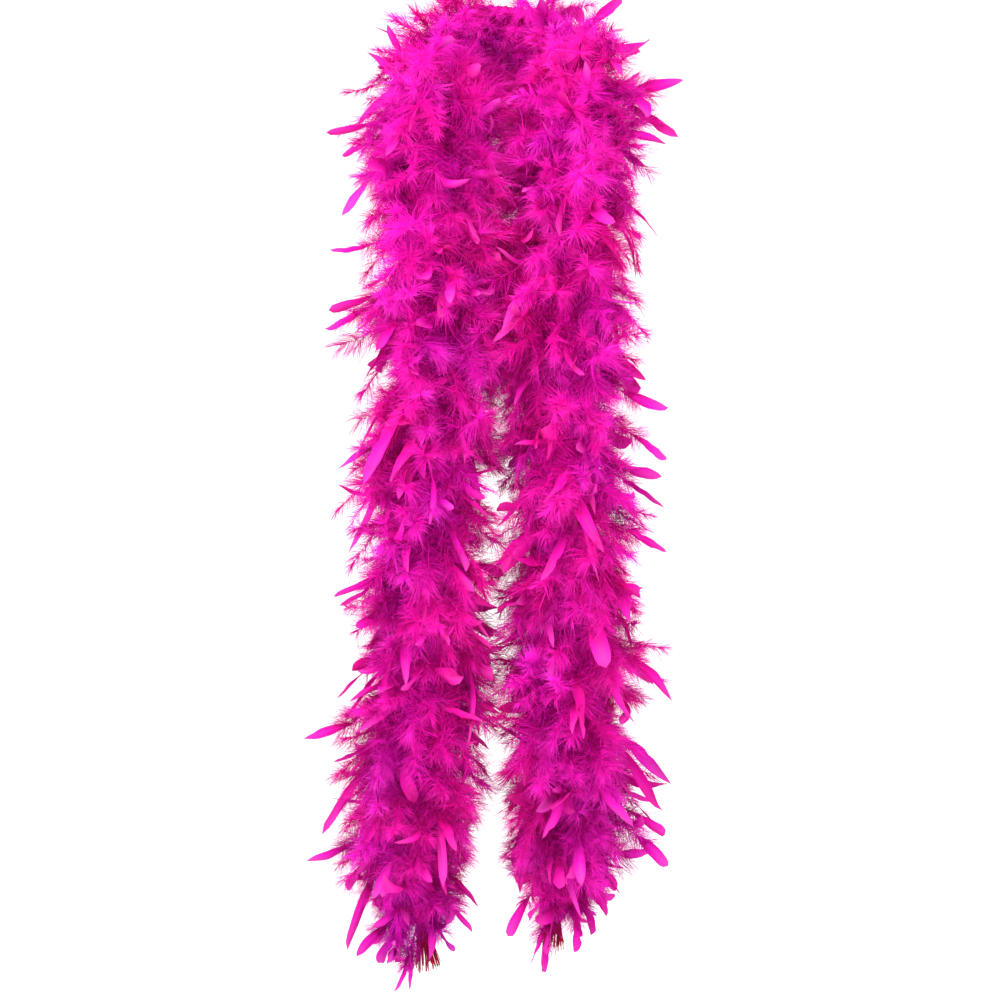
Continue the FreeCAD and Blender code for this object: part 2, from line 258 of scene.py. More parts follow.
class Builder:
    """Collects vertices with their colour facts and atlas places, and faces, for one mesh."""

    def __init__(self):
        self.vertices = []
        self.tones = []
        self.outward = []
        self.atlas = []
        self.quads = []
        self.triangles = []
        self.count = 0

    def add(self, points, tones, atlas, quads=None, triangles=None, outward=None):
        """outward, where given, turns the shading of these points that way, so that down looks soft."""
        self.vertices.append(points.reshape(-1, 3))
        own = np.zeros_like(self.vertices[-1])
        self.outward.append(own if outward is None else outward.reshape(-1, 3))
        self.tones.append(tones.reshape(-1, 3))
        self.atlas.append(atlas.reshape(-1, 2))
        if quads is not None:
            self.quads.append(quads.reshape(-1, 4) + self.count)
        if triangles is not None:
            self.triangles.append(triangles.reshape(-1, 3) + self.count)
        self.count += len(self.vertices[-1])

    def finish(self, name, material):
        vertices = np.clip(np.concatenate(self.vertices), *ROOM)
        faces = [np.concatenate(parts) for parts in (self.quads, self.triangles) if parts]
        made = new_mesh(name, vertices, faces)
        mesh = made.data
        tones = np.concatenate(self.tones)
        colours = np.concatenate([tones, np.ones((len(tones), 1))], axis=1).astype(np.float32)
        mesh.attributes.new("tone", "FLOAT_COLOR", "POINT").data.foreach_set("color", colours.ravel())
        atlas = np.concatenate(self.atlas)
        corners = np.concatenate([face.ravel() for face in faces])
        layer = mesh.uv_layers.new(name="OFBake")
        layer.data.foreach_set("uv", atlas[corners].astype(np.float32).ravel())
        outward = np.concatenate(self.outward)
        if np.any(outward):
            flat = np.empty(len(vertices) * 3, np.float32)
            mesh.vertex_normals.foreach_get("vector", flat)
            own = flat.reshape(-1, 3)
            soft = unit(own * (1 - SOFTNESS) + outward * SOFTNESS)
            soft = np.where(np.any(outward, axis=1, keepdims=True), soft, own)
            normals = mesh.attributes.new("custom_normal", "FLOAT_VECTOR", "POINT")
            normals.data.foreach_set("vector", soft.astype(np.float32).ravel())
        mesh.materials.append(material)
        return made


def strip_faces(strips, sections, columns):
    """Quads of many separate grids, each of sections x columns vertices."""
    base = (np.arange(strips) * sections * columns)[:, None, None]
    row = (np.arange(sections - 1) * columns)[None, :, None]
    column = np.arange(columns - 1)[None, None, :]
    first = base + row + column
    return np.stack([first, first + 1, first + columns + 1, first + columns], axis=-1).reshape(-1, 4)


# ---------------------------------------------------------------- feathers

class Feathers:
    """Many feathers at once: each is a curve from the core with a side direction, sizes and a tone.

    base (n, 3) is the foot of the shaft and along (n, 3) its direction there. bend and curl (n, 3) say how
    the shaft leaves that direction, in lengths. side (n, 3) is across the vane, vane is the share of the
    length where it starts, width half its width, tone its colour, fluff the length of the downy barbs and
    tile (n, 3) the corner and size of its square in the atlas.
    """

    def __init__(self, **facts):
        self.__dict__.update(facts)

    def __len__(self):
        return len(self.length)

    def pick(self, chosen):
        """The chosen feathers."""
        return Feathers(**{name: values[chosen] for name, values in self.__dict__.items()})

    def joined(self, other):
        return Feathers(**{name: np.concatenate([values, getattr(other, name)])
                           for name, values in self.__dict__.items()})

    def numbered(self):
        """Gives each feather its own square of the piece's atlas: lower corner and size."""
        across = math.ceil(math.sqrt(len(self)))
        number = np.arange(len(self))
        corner = np.stack([number % across, number // across], axis=-1) / across
        self.tile = np.concatenate([corner + 0.04 / across, np.full((len(self), 1), 0.92 / across)], axis=-1)
        return self

    def shaft(self, share):
        """Points, directions, side and normal vectors at shares (n, k) of the length."""
        share = np.broadcast_to(share, (len(self), np.shape(share)[-1]))
        part = share[..., None]
        length = self.length[:, None, None]
        bend = self.bend[:, None]
        curl = self.curl[:, None]
        along = self.along[:, None]
        points = self.base[:, None] + length * (along * part + bend * part ** 2 + curl * part ** 4)
        direction = unit(along + 2 * bend * part + 4 * curl * part ** 3)
        side = self.side[:, None]
        side = unit(side - direction * np.sum(direction * side, axis=-1, keepdims=True))
        return points, direction, side, np.cross(direction, side)


def in_tile(feathers, shape, low, high, u, v):
    """Atlas places: u and v from 0 to 1 in the part of each feather's square from low to high."""
    tile = feathers.tile.reshape((len(feathers),) + (1,) * (len(shape) - 1) + (3,))
    place = np.stack([np.broadcast_to(u, shape), np.broadcast_to(v, shape)], axis=-1)
    return tile[..., :2] + tile[..., 2:] * (np.array(low) + (np.array(high) - np.array(low)) * place)


def tones_of(feathers, shape, kind, share):
    """Colour facts: the feather's tone, the kind of part (0 barb, 0.5 shaft, 1 vane), the place along it."""
    tone = feathers.tone.reshape((len(feathers),) + (1,) * (len(shape) - 1))
    return np.stack([np.broadcast_to(tone, shape), np.full(shape, kind), np.broadcast_to(share, shape)],
                    axis=-1)


def add_shafts(builder, feathers):
    """Quills: tapered rods with three sides, thick at the foot."""
    share = np.linspace(0.0, SHAFT_END, SHAFT_SECTIONS)
    points, _, side, normal = feathers.shaft(share)
    radius = (0.0007 * (1 - share) + 0.00012)[None, :, None]
    turns = np.linspace(0, 2 * math.pi, 4)
    corners = [side * math.cos(turn) + normal * math.sin(turn) for turn in turns]
    ring = np.stack([points + corner * radius for corner in corners], axis=2)
    shape = ring.shape[:-1]
    along = share[None, :, None]
    builder.add(ring, tones_of(feathers, shape, 0.5, along),
                in_tile(feathers, shape, (0.0, 0.0), (1.0, 0.12), along, np.linspace(0, 1, 4)),
                quads=strip_faces(len(feathers), SHAFT_SECTIONS, 4))


def add_barbs(builder, feathers, rng):
    """Downy barbs: thin tapered ribbons on both sides. They fan out round the tip, or stop where a vane
    starts.
    """
    n = len(feathers)
    count = 2 * BARBS_PER_SIDE
    last = np.minimum(feathers.vane + 0.12, 0.97)[:, None]
    share = FIRST_BARB + (last - FIRST_BARB) * np.sort(rng.uniform(0.0, 1.0, (n, count)) ** 0.72, axis=1)
    foot, direction, side, normal = feathers.shaft(share)
    which = np.where(np.arange(count) % 2 == 0, 1.0, -1.0)[None, :, None]
    wisp = (np.arange(count) // (2 * BARBS_IN_WISP)) * 2 + np.arange(count) % 2
    wisps = int(wisp.max()) + 1

    def in_wisps(spread, own_spread):
        """Random numbers that are alike for all barbs of a wisp."""
        return rng.normal(0, spread, (n, wisps, 3))[:, wisp] + rng.normal(0, own_spread, (n, count, 3))

    stray = in_wisps(0.44, 0.42)
    lift = stray[..., :1] * 1.15
    head = np.clip((share - 0.80) / 0.17, 0, 1)[..., None]
    forward = 0.35 + 0.45 * share[..., None] + 1.1 * head ** 2 + 0.45 * stray[..., 1:2]
    lean = unit(side * which + normal * lift + direction * forward)
    length = feathers.fluff[:, None] * np.clip(1.22 - 0.62 * share, 0.3, 1.05)
    length = (length * rng.uniform(0.55, 1.15, (n, count)))[..., None]
    curl = rng.normal(0.0, 0.12, (n, 1, 3)) + in_wisps(0.17, 0.17) + 0.14 * GRAVITY + 0.10 * direction
    steps = np.linspace(0.0, 1.0, 4)
    step = steps[None, None, :, None]
    points = foot[:, :, None] + length[:, :, None] * (lean[:, :, None] * step + curl[:, :, None] * step ** 2)
    heading = unit(lean[:, :, None] + 2 * curl[:, :, None] * step)
    # the ribbons' flat sides look out of the pile
    outward = unit(foot - feathers.base[:, None])[:, :, None] + rng.normal(0.0, 0.4, (n, count, 1, 3))
    facing = unit(np.cross(outward, heading))
    half = (BARB_HALF * (1.0 - steps[:3]) ** 0.5 + 0.00005)[None, None, :, None]
    middle, wide = points[:, :, :3], facing[:, :, :3] * half
    # each barb has three pairs of vertices and one at its tip
    pairs = np.stack([middle + wide, middle - wide], axis=3)
    vertices = np.concatenate([pairs.reshape(n, count, 6, 3), points[:, :, 3:4]], axis=2)
    away = unit(vertices - feathers.base[:, None, None])
    shape = vertices.shape[:-1]
    u = np.concatenate([np.repeat(steps[:3], 2), [1.0]])
    v = np.array([0.0, 1.0] * 3 + [0.5])
    first = (np.arange(n * count) * 7)[:, None]
    pair = first + np.array([0, 2])
    quads = np.stack([pair, pair + 1, pair + 3, pair + 2], axis=-1)
    triangles = np.concatenate([first + 4, first + 5, first + 6], axis=-1)
    along = share[..., None] * 0.6 + 0.4 * u
    builder.add(vertices, tones_of(feathers, shape, 0.0, along),
                in_tile(feathers, shape, (0.0, 0.14), (1.0, 0.5), u, v), quads=quads, triangles=triangles,
                outward=away)


def add_vanes(builder, feathers, rng):
    """Flat vane tips: cambered sheets, unequal on the two sides, pointed or blunt, some with a split."""
    n = len(feathers)
    columns = np.array([-1.0, -0.55, 0.0, 0.55, 1.0])
    place = np.linspace(0.0, 1.0, VANE_ROWS)[None, :]
    share = feathers.vane[:, None] + (1.0 - feathers.vane[:, None]) * place
    points, direction, side, normal = feathers.shaft(share)
    is_blunt = rng.uniform(0, 1, (n, 1)) < 0.4
    blunt = np.where(is_blunt, rng.uniform(6, 14, (n, 1)), rng.uniform(1.8, 5.0, (n, 1)))
    rise = np.clip(place / rng.uniform(0.35, 0.9, (n, 1)), 0, 1)
    outline = (0.12 + 0.88 * np.sin(rise * math.pi / 2)) * (1 - place ** blunt) ** 0.8
    halves = []
    for _ in range(2):
        own = outline * rng.uniform(0.65, 1.2, (n, 1))
        split_at = rng.uniform(0.45, 0.95, (n, 1))
        split = np.exp(-((place - split_at) / 0.06) ** 2) * rng.uniform(0.0, 0.55, (n, 1))
        split = split * (rng.uniform(0, 1, (n, 1)) < 0.45)
        halves.append(own * (1 - split))
    half = np.where(columns[None, None, :] < 0, halves[0][..., None], halves[1][..., None])
    reach = columns[None, None, :] * half * feathers.width[:, None, None]
    twist = (rng.normal(0.0, 1.1, (n, 1)) * place)[..., None]
    camber = rng.uniform(0.15, 0.75, (n, 1, 1)) * np.abs(reach)
    across = side[:, :, None] * np.cos(twist)[..., None] + normal[:, :, None] * np.sin(twist)[..., None]
    above = normal[:, :, None] * np.cos(twist)[..., None] - side[:, :, None] * np.sin(twist)[..., None]
    forward = direction[:, :, None] * (0.55 * np.abs(reach))[..., None]
    vertices = points[:, :, None] + across * reach[..., None] - above * camber[..., None] + forward
    ripple = 0.0006 * np.sin(place * rng.uniform(8, 22, (n, 1)) + rng.uniform(0, 6, (n, 1)))
    vertices = vertices + above * (ripple[..., None] * np.abs(columns))[..., None]
    shape = vertices.shape[:-1]
    barb_line = place[..., None] - 0.18 * np.abs(columns)       # lines of equal value lie like the barbs
    builder.add(vertices, tones_of(feathers, shape, 1.0, barb_line + 0.18),
                in_tile(feathers, shape, (0.0, 0.52), (1.0, 1.0), place[..., None], (columns + 1) / 2),
                quads=strip_faces(n, VANE_ROWS, len(columns)))


def grow(start, end, rng):
    """Feathers whose feet are on the core between two distances, pointing out and down all round.
    Returns them and the distances of their feet.
    """
    start, end = max(start, BARE_END), min(end, LINE_LENGTH - BARE_END)
    count = int(round((end - start) * FEATHERS_PER_METRE))
    at = start + (np.arange(count) + rng.uniform(0, 1, count)) / count * (end - start)
    # some more reach for the other tail
    spare = start + rng.uniform(0, 1, count // 2) * (end - start)
    spare_z = on_route(spare)[0][:, 2]
    bridge_ends = np.where(rng.uniform(0, 1, count // 2) < 0.45, LAST_BRIDGE_Z, BRIDGE_FOOT_Z)
    kept = (spare_z < BRIDGE_TOP_Z) & (spare_z > bridge_ends)
    at = np.concatenate([at, spare[kept]])
    reaching = np.arange(len(at)) >= count
    count = len(at)
    foot, run = on_route(at)
    angle = rng.uniform(0, 2 * math.pi, count)
    level, front = across_route(run)
    outward = level * np.cos(angle)[:, None] + front * np.sin(angle)[:, None]
    inner = np.zeros((count, 3))
    inner[:, 0] = np.where(foot[:, 0] < TAIL_GAP_X, 1.0, -1.0)
    inner[:, 1] = rng.uniform(-0.7, 0.45, count)
    outward = np.where(reaching[:, None], unit(inner), outward)
    # the showy ones have a vane and stand out further, and there are more of them low down
    low_down = np.clip((-foot[:, 2] - 0.50) / 0.35, 0, 1)
    showy = rng.uniform(0, 1, count) < 0.20 + 0.16 * low_down
    tilt = np.radians(np.where(showy, rng.uniform(12, 74, count), rng.uniform(0, 64, count)))[:, None]
    towards_end = np.where(at < LINE_LENGTH / 2, -1.0, 1.0)[:, None] * run
    hang = unit(GRAVITY + 0.35 * towards_end)
    along = unit(outward * np.cos(tilt) + hang * np.sin(tilt) + rng.normal(0, 0.16, (count, 3)))
    swell = waves(foot + 0.06 * outward, np.random.default_rng(SWELL_SEED), 10, 55, 120)
    showy_reach = rng.uniform(0.064, 0.092, count)
    reach = np.where(showy, showy_reach, rng.uniform(0.038, 0.076, count) * (1 + 0.14 * swell))
    reach = np.where(reaching, BRIDGE_REACH, reach)
    length = np.minimum(reach / np.cos(tilt[:, 0]) ** 0.6, LONGEST_FEATHER)
    bend = GRAVITY * rng.uniform(0.0, 0.28, (count, 1)) + rng.normal(0, 0.13, (count, 3))
    curl = rng.normal(0, 1, (count, 3)) * np.where(showy, 0.24, 0.10)[:, None]
    side = unit(np.cross(along, rng.normal(0, 1, (count, 3))))
    # most vanes lie flat on the pile, so that their faces look outwards
    flat = unit(np.cross(along, outward))
    side = unit(np.where(rng.uniform(0, 1, (count, 1)) < 0.6, flat + 0.5 * side, side))
    return Feathers(
        base=foot + outward * 0.002, along=along, length=length, bend=bend, curl=curl, side=side,
        vane=np.where(showy, rng.uniform(0.42, 0.66, count), NO_VANE),
        width=rng.uniform(0.0042, 0.0098, count), tone=rng.uniform(0, 1, count),
        fluff=rng.uniform(0.020, 0.032, count) * np.where(reaching, 1.25, 1.0),
    ), at


def tips(feathers):
    """Where the feathers end."""
    return feathers.shaft(np.ones((len(feathers), 1)))[0][:, 0]


def part_at_neck(feathers):
    """Feathers that point into the wearer's neck end short of it."""
    tip = tips(feathers)
    tip_away = np.hypot(tip[:, 0], tip[:, 1] - NECK_AXIS_Y)
    foot_away = np.hypot(feathers.base[:, 0], feathers.base[:, 1] - NECK_AXIS_Y)
    inside = (tip_away < NECK_RADIUS) & (tip[:, 2] > THROAT_Z) & (foot_away > NECK_RADIUS)
    kept = np.clip((foot_away - NECK_RADIUS) / np.maximum(foot_away - tip_away, 1e-6), 0.25, 1.0)
    feathers.length = np.where(inside, kept * feathers.length, feathers.length)
    feathers.fluff = np.where(inside, 0.75 * feathers.fluff, feathers.fluff)


def outer_girth(core, outward, tip):
    """The share of its length that a feather on a tail's outer side keeps by the girth tables; 1 elsewhere."""
    depth = -tip[:, 2]
    left = np.interp(depth, [-z for z, _ in LEFT_GIRTH], [share for _, share in LEFT_GIRTH])
    right = np.interp(depth, [-z for z, _ in RIGHT_GIRTH], [share for _, share in RIGHT_GIRTH])
    on_left = core[:, 0] < TAIL_GAP_X
    outer = np.clip(np.where(on_left, -outward[:, 0], outward[:, 0]) * 1.5, 0, 1)
    return 1 + (np.where(on_left, left, right) - 1) * outer


def share_inside(excess, reach, least):
    """The share of its length that a feather keeps so that it doesn't reach too far by the excess."""
    return np.clip(1 - excess / np.maximum(reach, 1e-9), least, 1)


def settle(feathers, at):
    """Shortens feathers that would reach into the wearer, over the other tail, past the girth of the fluff,
    below the ends or out of the CAD box at the front. at is the distance of each foot along the route.
    """
    part_at_neck(feathers)
    tip = tips(feathers)
    offset = tip - feathers.base
    core, run = on_route(at)
    radial = offset - run * np.sum(offset * run, axis=1, keepdims=True)
    reach = np.maximum(np.linalg.norm(radial, axis=1), 1e-9)
    from_end = np.minimum(at, LINE_LENGTH - at)

    # girth: less towards the wearer's chest and at the ends
    worn = (core[:, 2] > TORSO_FOOT_Z) & (core[:, 2] < CHEST_TOP_Z)
    backward = np.clip(radial[:, 1] / reach, 0, 1)
    limit = FLUFF_RADIUS * 1.06 * np.where(worn, 1 - 0.40 * backward, 1.0)
    limit = limit * np.clip(0.62 + 0.38 * from_end / 0.07, 0.62, 1.0)
    shrink = np.clip(limit / reach, 0.3, 1.0) * outer_girth(core, radial / reach[:, None], tip)

    # the inner edges of the two tails
    on_left = core[:, 0] < TAIL_GAP_X
    side = np.where(on_left, 1.0, -1.0)
    heights, left_edge, right_edge = np.array(INNER_EDGES).T
    edge = np.where(on_left, np.interp(-tip[:, 2], -heights, left_edge),
                    np.interp(-tip[:, 2], -heights, right_edge))
    crossing = np.clip(side * (tip[:, 0] - edge), 0, None)
    hanging = core[:, 2] < -0.05
    shrink = np.where(hanging, np.minimum(shrink, share_inside(crossing, np.abs(offset[:, 0]), 0.3)), shrink)

    # the front of the box and the ends, where the cut quills show between the feathers
    downy = feathers.vane == NO_VANE
    lowest = np.where(on_left, LOWEST_TIP["left"], LOWEST_TIP["right"])
    lowest_downy = np.where(on_left, LOWEST_DOWNY_TIP["left"], LOWEST_DOWNY_TIP["right"])
    quills_x = np.where(on_left, ROUTE[0][0] + 0.006, ROUTE[-1][0] - 0.002)
    before_quills = (np.abs(tip[:, 0] - quills_x) < 0.018) & (tip[:, 1] < ROUTE[0][1] + 0.004)
    lowest = np.where(downy, lowest_downy, lowest)
    lowest = lowest + np.where(before_quills, np.where(downy, 0.014, 0.075), 0.0)
    too_low = np.clip(lowest - tip[:, 2], 0, None)
    too_near = np.clip(NEAREST_TIP_Y - tip[:, 1], 0, None)
    shrink = np.minimum(shrink, share_inside(too_near, -offset[:, 1], 0.3))
    shrink = np.minimum(shrink, share_inside(too_low, -offset[:, 2], 0.15))

    feathers.fluff = feathers.fluff * np.clip(0.62 + 0.38 * (from_end - BARE_END) / 0.03, 0.62, 1)
    feathers.length = feathers.length * shrink


def stray_at(facts):
    """Distance along the route of a stray feather's foot."""
    x, _, z, above = facts
    return nearest_distance((math.copysign(0.08, x), -0.14, z + above))


def strays(chosen, rng):
    """Long feathers with their tips where they are given."""
    count = len(chosen)
    tip = np.array([[x, y, z] for x, y, z, _ in chosen])
    at = np.array([stray_at(facts) for facts in chosen])
    foot, _ = on_route(at)
    offset = tip - foot
    length = np.linalg.norm(offset, axis=1)
    bend = np.stack([
        rng.normal(0, 0.05, count), rng.normal(0, 0.06, count), rng.uniform(-0.28, -0.05, count),
    ], axis=1)
    curl = np.stack([
        rng.normal(0, 0.05, count), rng.normal(0, 0.05, count), rng.normal(0, 0.08, count),
    ], axis=1)
    along = offset / length[:, None] - bend - curl
    facing = np.array([0.1, 1.0, 0.1]) + rng.normal(0, 0.35, (count, 3))
    return Feathers(
        base=foot, along=along, length=length, bend=bend, curl=curl, side=unit(np.cross(along, facing)),
        vane=rng.uniform(0.50, 0.64, count), width=rng.uniform(0.0042, 0.0072, count),
        tone=rng.uniform(0, 1, count), fluff=rng.uniform(0.020, 0.028, count),
    )


def core_cord(name, start, end, material):
    """Two cotton plies twisted round each other along the route. Returns the mesh and the line it follows."""
    rings = int((end - start) / 0.0016)
    around = 9      # the last vertex of a ring lies on the first
    at = np.linspace(start, end, rings)
    centre, run = on_route(at)
    level, front = across_route(run)
    ply_radius = CORD_DIAMETER / 4
    turn = np.linspace(0, 2 * math.pi, around)
    builder = Builder()
    for phase in (0.0, math.pi):
        twist = (2 * math.pi * at / PLY_PITCH + phase)[:, None]
        ply = centre + ply_radius * (level * np.cos(twist) + front * np.sin(twist))
        swell = ply_radius * (1 + 0.06 * np.sin(at * 9000.0 + phase))[:, None, None]     # uneven yarn
        surface = ply[:, None] + swell * (level[:, None] * np.cos(turn)[None, :, None]
                                          + front[:, None] * np.sin(turn)[None, :, None])
        share = np.broadcast_to(np.linspace(0, 1, rings)[:, None], surface.shape[:-1])
        across = np.broadcast_to(np.linspace(0, 1, around)[None, :], surface.shape[:-1])
        half = 0.5 * (phase > 0)
        atlas = np.stack([0.01 + 0.98 * share, half + 0.02 + 0.44 * across], axis=-1)
        builder.add(surface, np.stack([share] * 3, axis=-1), atlas, quads=strip_faces(1, rings, around))
    return builder.finish(name, material), centre


def quill_brush(name, node, foot, away, count, rng, material):
    """The cut quills at a tail's end: a splayed bunch as long as its CAD node."""
    low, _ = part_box(node)
    length = (foot[2] - low[2]) / max(-away[2], 0.5)
    side = unit(np.cross(away, np.array([0.0, 1.0, 0.0])))
    front = np.cross(side, away)
    turn = rng.uniform(0, 2 * math.pi, count)
    spread = np.sqrt(rng.uniform(0, 1, count))[:, None]
    across = (side * np.cos(turn)[:, None] + front * np.sin(turn)[:, None]) * spread
    share = np.linspace(0, 1, 5)
    reach = (length * rng.uniform(0.80, 1.0, count))[:, None, None]
    start = foot + across * 0.0036
    points = start[:, None] + reach * share[None, :, None] * (away + 0.24 * across)[:, None]
    points = points + (share ** 2)[None, :, None] * rng.normal(0, 0.0016, (count, 1, 3))
    radius = (rng.uniform(0.00042, 0.00062, (count, 1)) * (1 - 0.25 * share))[..., None]
    sides = 6
    angle = np.linspace(0, 2 * math.pi, sides + 1)
    ring = side[None] * np.cos(angle)[:, None] + front[None] * np.sin(angle)[:, None]
    surface = points[:, :, None] + ring * radius[:, :, None]
    # one more section, drawn together, closes the cut end
    tube = np.concatenate([surface, np.repeat(points[:, -1:, None], sides + 1, axis=2)], axis=1)
    shape = tube.shape[:-1]
    sections = shape[1]
    columns = 10
    number = np.arange(count)[:, None, None]
    u = (number % columns + 0.05 + 0.9 * np.linspace(0, 1, sections)[None, :, None]) / columns
    v = (number // columns + 0.05 + 0.9 * np.linspace(0, 1, sides + 1)) / math.ceil(count / columns)
    atlas = np.stack([np.broadcast_to(u, shape), np.broadcast_to(v, shape)], axis=-1)
    builder = Builder()
    builder.add(tube, np.zeros(shape + (3,)), atlas, quads=strip_faces(count, sections, sides + 1))
    return builder.finish(name, material)


def waves(place, rng, count, low, high):
    """Smooth uneven values between -1 and 1 from a sum of waves in random directions."""
    total = np.zeros(place.shape[:-1])
    for _ in range(count):
        direction = unit(rng.normal(0, 1, 3)) * rng.uniform(low, high)
        total += np.sin(place @ direction + rng.uniform(0, 2 * math.pi))
    return total / math.sqrt(count) / 1.5


def down_piece(name, start, end, material):
    """Dense lumpy down close round the core, which draws together at the boa's ends."""
    rings = max(3, int((end - start) / 0.003))
    around = 64
    at = np.linspace(start, end, rings)
    centre, run = on_route(at)
    level, front = across_route(run)
    angle = np.linspace(0, 2 * math.pi, around + 1)
    outward = level[:, None] * np.cos(angle)[None, :, None] + front[:, None] * np.sin(angle)[None, :, None]
    rng = np.random.default_rng(LUMP_SEED)
    place = centre[:, None] + outward * DOWN_RADIUS
    lumps = 0.0045 * waves(place, rng, 14, 90, 260) + 0.002 * waves(place, rng, 12, 500, 1100)
    from_end = np.clip(np.minimum(at, LINE_LENGTH - at) / 0.035, 0, 1)
    closing = np.sqrt(1 - (1 - from_end) ** 2) * 0.88 + 0.12
    surface = centre[:, None] + outward * ((DOWN_RADIUS + lumps) * closing[:, None])[..., None]
    builder = Builder()
    share = np.linspace(0, 1, rings)[:, None]
    turn = np.linspace(0, 1, around + 1)[None, :]
    tones = np.stack([np.broadcast_to(share, surface.shape[:-1])] * 3, axis=-1)
    atlas = np.stack([np.broadcast_to(0.02 + 0.96 * share, surface.shape[:-1]),
                      np.broadcast_to(0.02 + 0.96 * turn, surface.shape[:-1])], axis=-1)
    builder.add(surface, tones, atlas, quads=strip_faces(1, rings, around + 1))
    return builder.finish(name, material)


def feather_piece(name, feathers, rng, material):
    """One mesh of many feathers."""
    builder = Builder()
    add_shafts(builder, feathers.numbered())
    add_barbs(builder, feathers, rng)
    add_vanes(builder, feathers.pick(feathers.vane < NO_VANE), rng)
    return builder.finish(name, material)


# ---------------------------------------------------------------- materials

def node_material(name):
    """New material with its nodes, links and shader."""
    material = bpy.data.materials.new(name)
    material.use_nodes = True
    nodes = material.node_tree.nodes
    return material, nodes, material.node_tree.links, nodes["Principled BSDF"]


def multiplied(nodes, links, first, second, factor=1.0):
    """One colour multiplied by another, as far as the factor, a number or a link, says."""
    mix = nodes.new("ShaderNodeMix")
    mix.data_type = "RGBA"
    mix.blend_type = "MULTIPLY"
    if isinstance(factor, bpy.types.NodeSocket):
        links.new(factor, mix.inputs["Factor"])
    else:
        mix.inputs["Factor"].default_value = factor
    links.new(first, mix.inputs[6])
    links.new(second, mix.inputs[7])
    return mix.outputs[2]


def ramp_node(nodes, links, factor, stops):
    """Colour ramp with (position, colour) stops."""
    ramp = nodes.new("ShaderNodeValToRGB")
    while len(ramp.color_ramp.elements) < len(stops):
        ramp.color_ramp.elements.new(0.5)
    for element, (position, colour) in zip(ramp.color_ramp.elements, stops):
        element.position = position
        element.color = (*colour, 1.0)
    links.new(factor, ramp.inputs["Fac"])
    return ramp.outputs["Color"]


def noise_node(nodes, links, scale, detail=3.0):
    """Noise fixed to the object; scale is in lumps per metre."""
    place = nodes.new("ShaderNodeTexCoord")
    noise = nodes.new("ShaderNodeTexNoise")
    noise.inputs["Scale"].default_value = scale
    noise.inputs["Detail"].default_value = detail
    links.new(place.outputs["Object"], noise.inputs["Vector"])
    return noise.outputs["Fac"]


def feather_material():
    """Dyed feather: a colour of its own for each one, with painted shade near the foot and a painted highlight
    at the barbs' ends.
    """
    material, nodes, links, shader = node_material("dyed_feather")
    shader.inputs["Roughness"].default_value = 0.6
    shader.inputs["Specular IOR Level"].default_value = 0.08
    shader.inputs["Sheen Weight"].default_value = 0.12
    shader.inputs["Sheen Roughness"].default_value = 0.5
    shader.inputs["Sheen Tint"].default_value = (1.0, 0.05, 0.5, 1.0)
    tone = nodes.new("ShaderNodeAttribute")
    tone.attribute_name = "tone"
    parts = nodes.new("ShaderNodeSeparateColor")
    links.new(tone.outputs["Color"], parts.inputs["Color"])
    # the feather's own tone
    own = ramp_node(nodes, links, parts.outputs["Red"], (
        (0.0, (0.92, 0.002, 0.42)), (0.4, (0.97, 0.003, 0.49)), (0.75, (0.94, 0.004, 0.535)),
        (1.0, (0.86, 0.005, 0.55)),
    ))
    # large patches, a little redder or bluer
    patches = ramp_node(nodes, links, noise_node(nodes, links, 9.0), (
        (0.35, (1.0, 1.0, 0.92)), (0.65, (0.93, 1.0, 1.08)),
    ))
    # painted shade: deeper near the foot, down in the pile; painted highlight: paler at the barbs' ends
    depth = ramp_node(nodes, links, parts.outputs["Blue"], (
        (0.25, (0.66, 0.15, 0.53)), (0.65, (1.0, 1.0, 1.0)), (1.0, (1.02, 9.0, 1.0)),
    ))
    # barb, shaft, vane
    kind = ramp_node(nodes, links, parts.outputs["Green"], (
        (0.0, (1.0, 1.0, 1.0)), (0.5, (0.9, 1.0, 0.85)), (1.0, (0.84, 1.1, 0.80)),
    ))
    colour = own
    for other in (patches, depth, kind):
        colour = multiplied(nodes, links, colour, other)
    # the vanes' barb lines
    scaled = nodes.new("ShaderNodeMath")
    scaled.operation = "MULTIPLY"
    scaled.inputs[1].default_value = 85.0
    links.new(parts.outputs["Blue"], scaled.inputs[0])
    lines = nodes.new("ShaderNodeTexNoise")
    lines.noise_dimensions = "1D"
    lines.inputs["Detail"].default_value = 1.0
    links.new(scaled.outputs["Value"], lines.inputs["W"])
    lined = ramp_node(nodes, links, lines.outputs["Fac"], (
        (0.35, (0.74, 0.5, 0.72)), (0.65, (1.08, 1.3, 1.06)),
    ))
    on_vane = nodes.new("ShaderNodeMapRange")
    on_vane.inputs["From Min"].default_value = 0.7
    links.new(parts.outputs["Green"], on_vane.inputs["Value"])
    colour = multiplied(nodes, links, colour, lined, on_vane.outputs["Result"])
    # painted shade: the lower ends are a little darker, where the light falls off
    place = nodes.new("ShaderNodeTexCoord")
    axes = nodes.new("ShaderNodeSeparateXYZ")
    links.new(place.outputs["Object"], axes.inputs["Vector"])
    span = nodes.new("ShaderNodeMapRange")
    span.inputs["From Min"].default_value = -0.95
    span.inputs["From Max"].default_value = -0.58
    links.new(axes.outputs["Z"], span.inputs["Value"])
    lower = ramp_node(nodes, links, span.outputs["Result"], (
        (0.0, (0.86, 1.0, 0.95)), (1.0, (1.0, 1.0, 1.0)),
    ))
    colour = multiplied(nodes, links, colour, lower)
    links.new(colour, shader.inputs["Base Color"])
    return material


